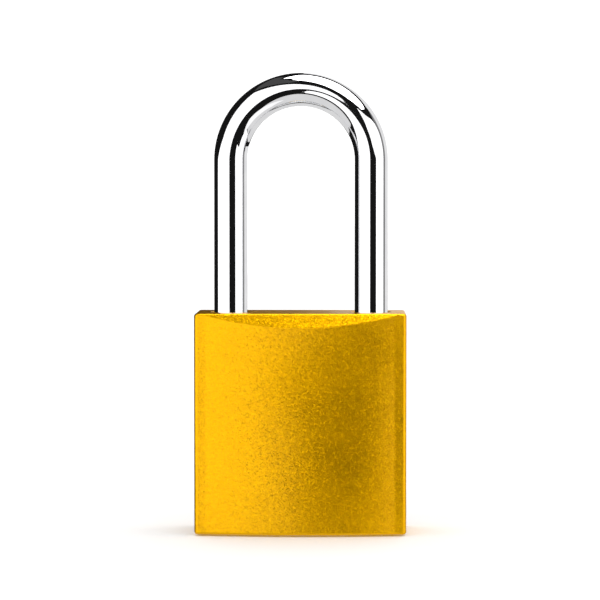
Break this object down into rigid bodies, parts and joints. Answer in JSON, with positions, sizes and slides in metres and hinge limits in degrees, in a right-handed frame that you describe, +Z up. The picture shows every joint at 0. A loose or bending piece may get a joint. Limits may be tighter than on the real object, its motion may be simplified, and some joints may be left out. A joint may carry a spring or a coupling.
{
  "type": "padlock",
  "caption": "Keyed padlock with an arched gold anodised aluminium body, a chromed steel shackle and a ball locking key cylinder inside.",
  "frame": {"origin": "middle of the body's bottom face, which the padlock stands on", "axes": "+Z up along the key cylinder and the shackle's legs, +X toward the toe leg that comes out of the body, -Y toward the front"},
  "size_m": [0.04, 0.02, 0.0872],
  "materials": {
    "body_anodised": "gold anodised, bead blasted satin",
    "shackle_chrome": "bright chrome plate on hardened steel",
    "cylinder_brass": "turned",
    "driver_nickel": "nickel silver, turned",
    "hardened_steel": "hardened and ground",
    "zinc_steel": "zinc plated",
    "spring_steel": "drawn wire"
  },
  "bodies": {
    "lock": {"lock_body": "body_anodised", "cylinder_housing": "cylinder_brass", "chamber_cover": "cylinder_brass", "cylinder_screw": "zinc_steel", "heel_retaining_pin": "hardened_steel", "shackle_spring": "spring_steel", "driver_pin_1": "driver_nickel", "pin_spring_1": "spring_steel", "driver_pin_2": "driver_nickel", "pin_spring_2": "spring_steel", "driver_pin_3": "driver_nickel", "pin_spring_3": "spring_steel", "driver_pin_4": "driver_nickel", "pin_spring_4": "spring_steel", "driver_pin_5": "driver_nickel", "pin_spring_5": "spring_steel"},
    "key_plug": {"plug": "cylinder_brass", "plug_clip": "spring_steel", "tailpiece": "cylinder_brass", "cam": "zinc_steel", "anti_drill_pin_1": "hardened_steel", "anti_drill_pin_2": "hardened_steel", "key_pin_1": "cylinder_brass", "key_pin_2": "cylinder_brass", "key_pin_3": "cylinder_brass", "key_pin_4": "cylinder_brass", "key_pin_5": "cylinder_brass"},
    "toe_ball": {"ball_toe": "hardened_steel"},
    "heel_ball": {"ball_heel": "hardened_steel"},
    "shackle": {"shackle": "shackle_chrome", "spring_cap": "zinc_steel"}
  },
  "joints": [
    {"name": "key_turn", "type": "hinge", "parent": "lock", "child": "key_plug", "pos_m": [0, 0, 0.0004], "axis": [0, 0, 1], "range_deg": [0, 90]},
    {"name": "shackle_lift", "type": "slide", "parent": "lock", "child": "shackle", "axis": [0, 0, 1], "range_m": [0, 0.0152], "deforming": ["shackle_spring"]},
    {"name": "ball_toe_slide", "type": "slide", "parent": "lock", "child": "toe_ball", "axis": [-1, 0, 0], "range_m": [0, 0.0035]},
    {"name": "ball_heel_slide", "type": "slide", "parent": "lock", "child": "heel_ball", "axis": [1, 0, 0], "range_m": [0, 0.0035]}
  ],
  "couplings": [
    {"joint": "shackle_lift", "follows": "key_turn", "m_per_rad": 0.0096766},
    {"joint": "ball_toe_slide", "follows": "key_turn", "m_per_rad": 0.0022282},
    {"joint": "ball_heel_slide", "follows": "key_turn", "m_per_rad": 0.0022282}
  ]
}
